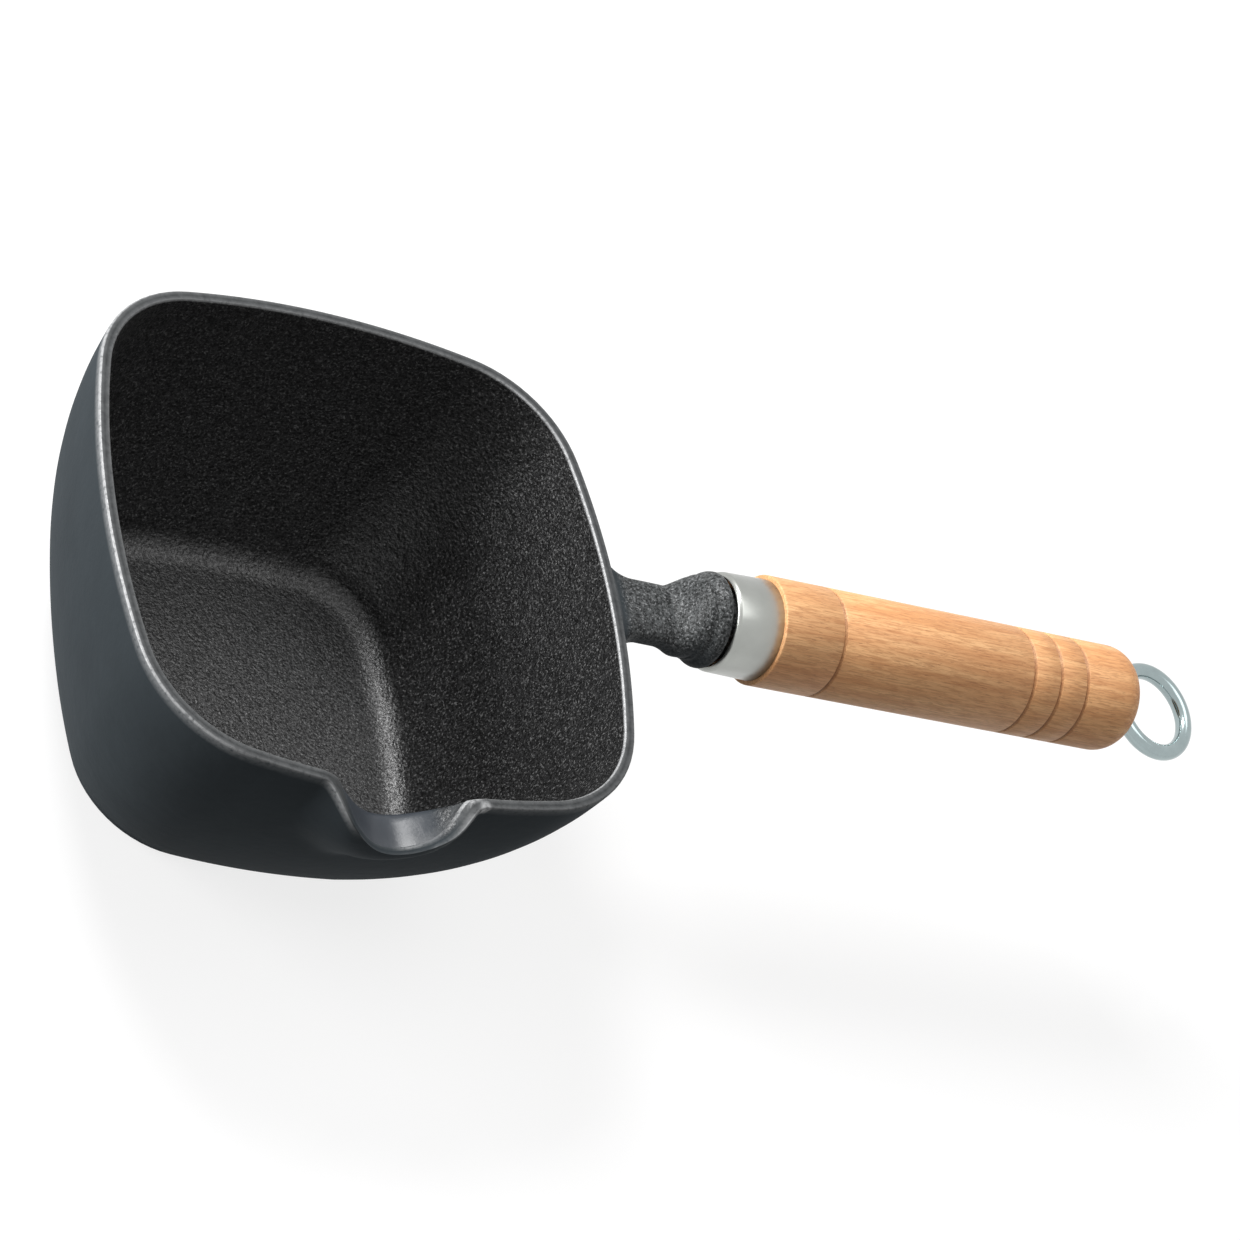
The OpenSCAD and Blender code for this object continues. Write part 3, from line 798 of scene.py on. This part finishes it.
def threaded_steel():
    """The rod: plain drawn steel between its two threads."""
    m, t, shader = material("threaded rod")
    from_collar = place(t, offset=(-COLLAR_END * MM, 0, -AXIS_Z * MM))
    level = add(t, "ShaderNodeMapping", ("Vector", from_collar), ("Rotation", (0, RISE, 0)))
    x, y, z = add(t, "ShaderNodeSeparateXYZ", (0, level.outputs[0])).outputs
    turn = maths(t, "ARCTAN2", z, y)
    thread = maths(t, "SINE", plus(t, times(t, x, 2 * math.pi / (THREAD_PITCH * MM)), turn))
    threaded = plus(t, maths(t, "LESS_THAN", x, INNER_THREAD_END * MM),
                    maths(t, "GREATER_THAN", x, OUTER_THREAD_START * MM))
    # painted shade in the thread's roots
    root = times(t, threaded, ramp(t, times(t, thread, -1.0), 0.0, 1.0))
    lines = lined(t, 300.0, 2500.0)
    colour = layered(t, toned(t, ROD_STEEL, 0.08, 200.0), (root, THREAD_ROOT_SHADE))
    plug(t, shader, "Base Color", colour)
    plug(t, shader, "Roughness", plus(t, times(t, lines, 0.15), 0.25))
    plug(t, shader, "Metallic", 1.0)
    bumped(t, shader, plus(t, times(t, thread, threaded), times(t, lines, 0.1)), 0.9, 0.3 * MM)
    return m


def give(piece, m):
    piece.data.materials.clear()
    piece.data.materials.append(m)


# ---------------------------------------------------------------- making the pieces
pan = cast_pan()
smooth(pan, 35)
paint_finish(pan)
give(pan, cast_iron())
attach(pan, "pan")
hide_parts("pan_casting")

grip = turned_grip()
paint_groove_shade(grip)
give(grip, beech())
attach(grip, "pan")
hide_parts("wood_handle")

sleeve = pressed_ferrule()
give(sleeve, plain_steel("satin steel sleeve", SLEEVE_STEEL, 0.32, 60.0, 900.0, 0.25))
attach(sleeve, "pan")
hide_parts("ferrule")

eye = screwed_eye()
give(eye, plain_steel("bright plating", EYE_PLATING, 0.16, 180.0, 180.0, 0.12, 0.12))
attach(eye, "eye")
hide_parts("hanging_eye")

# the hidden rod and the washer keep their solids as they are
give(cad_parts["tie_rod"], threaded_steel())
give(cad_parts["end_washer"],
     plain_steel("plated washer", WASHER_PLATING, 0.28, 400.0, 400.0, 0.15))

# ---------------------------------------------------------------- floor and background
FLOOR_SIZE, FLOOR_CENTRE, FLOOR_DROP = 6.0, 0.6, 0.05    # metres, metres, millimetres
FLOOR_GLOW = 0.80           # with the light on it, this makes the floor white to the eye
WORLD_LIGHT, WORLD_WHITE = 0.25, 0.75


def seen(tree):
    """1 for what the camera sees, straight, in metal or through glass; 0 for light on the part."""
    rays = add(tree, "ShaderNodeLightPath").outputs
    mirrored = larger(tree, rays["Is Glossy Ray"], rays["Is Transmission Ray"])
    return larger(tree, rays["Is Camera Ray"], mirrored)


put_all_down()
bpy.ops.mesh.primitive_grid_add(x_subdivisions=8, y_subdivisions=8, size=FLOOR_SIZE,
                                location=(FLOOR_CENTRE, FLOOR_CENTRE, -FLOOR_DROP * MM))
floor = settle(bpy.context.object)
floor.name = "floor"
m, t, shader = material("pale floor")
plug(t, shader, "Base Color", FLOOR_GREY)
plug(t, shader, "Roughness", 0.9)
plug(t, shader, "Specular IOR Level", 0.0)
plug(t, shader, "Emission Color", WHITE)
plug(t, shader, "Emission Strength", times(t, seen(t), FLOOR_GLOW))
# from below the floor is clear, so that the underside of the pan shows
from_below = add(t, "ShaderNodeNewGeometry").outputs["Backfacing"]
clear = add(t, "ShaderNodeBsdfTransparent").outputs[0]
surface = add(t, "ShaderNodeMixShader", (0, from_below), (1, shader.outputs[0]), (2, clear))
plug(t, t.nodes["Material Output"], "Surface", surface.outputs[0])
give(floor, m)

world = bpy.data.worlds.new("studio")
bpy.context.scene.world = world
world.use_nodes = True
t = world.node_tree
backdrop = t.nodes["Background"]
plug(t, backdrop, "Color", WHITE)
plug(t, backdrop, "Strength", plus(t, times(t, seen(t), WORLD_WHITE), WORLD_LIGHT))


# ---------------------------------------------------------------- lamps
def softbox(name, stand, aim, size, watts):
    put_all_down()
    bpy.ops.object.light_add(type="AREA", location=stand)
    light = bpy.context.object
    light.name = name
    light.data.shape = "RECTANGLE"
    light.data.size, light.data.size_y = size
    light.data.energy = watts
    light.rotation_euler = (Vector(stand) - Vector(aim)).to_track_quat("Z", "Y").to_euler()


softbox("key softbox", (-0.38, 0.66, 0.95), (0.05, 0.0, 0.03), (0.36, 0.36), 13.5)
softbox("side softbox", (-1.25, 0.30, 0.28), (0.0, 0.0, 0.05), (0.7, 0.45), 20.0)
softbox("top softbox", (0.45, 0.1, 1.25), (0.12, 0.0, 0.05), (0.9, 0.7), 4.0)

# ---------------------------------------------------------------- the camera, as solved from the photograph
FOCAL_PX, PHOTO_PX, SENSOR = 4008.207, 1240, 36.0
RIGHT = (0.83105556, -0.17448323, 0.52811198)
UP = (-0.16801747, 0.82639949, 0.5374328)
BACK = (-0.53020448, -0.53536855, 0.65746765)
STAND = (-0.48139, -0.56795, 0.76837)

shot = bpy.data.cameras.new("camera")
shot.sensor_width = SENSOR
shot.sensor_fit = "HORIZONTAL"
shot.lens = FOCAL_PX / PHOTO_PX * SENSOR
shot.clip_start = 0.02
shot.clip_end = 20.0
camera = bpy.data.objects.new("camera", shot)
bpy.context.scene.collection.objects.link(camera)
camera.matrix_world = Matrix((*zip(RIGHT, UP, BACK, STAND), (0, 0, 0, 1)))
bpy.context.scene.camera = camera

scene = bpy.context.scene
scene.view_settings.view_transform = "Standard"
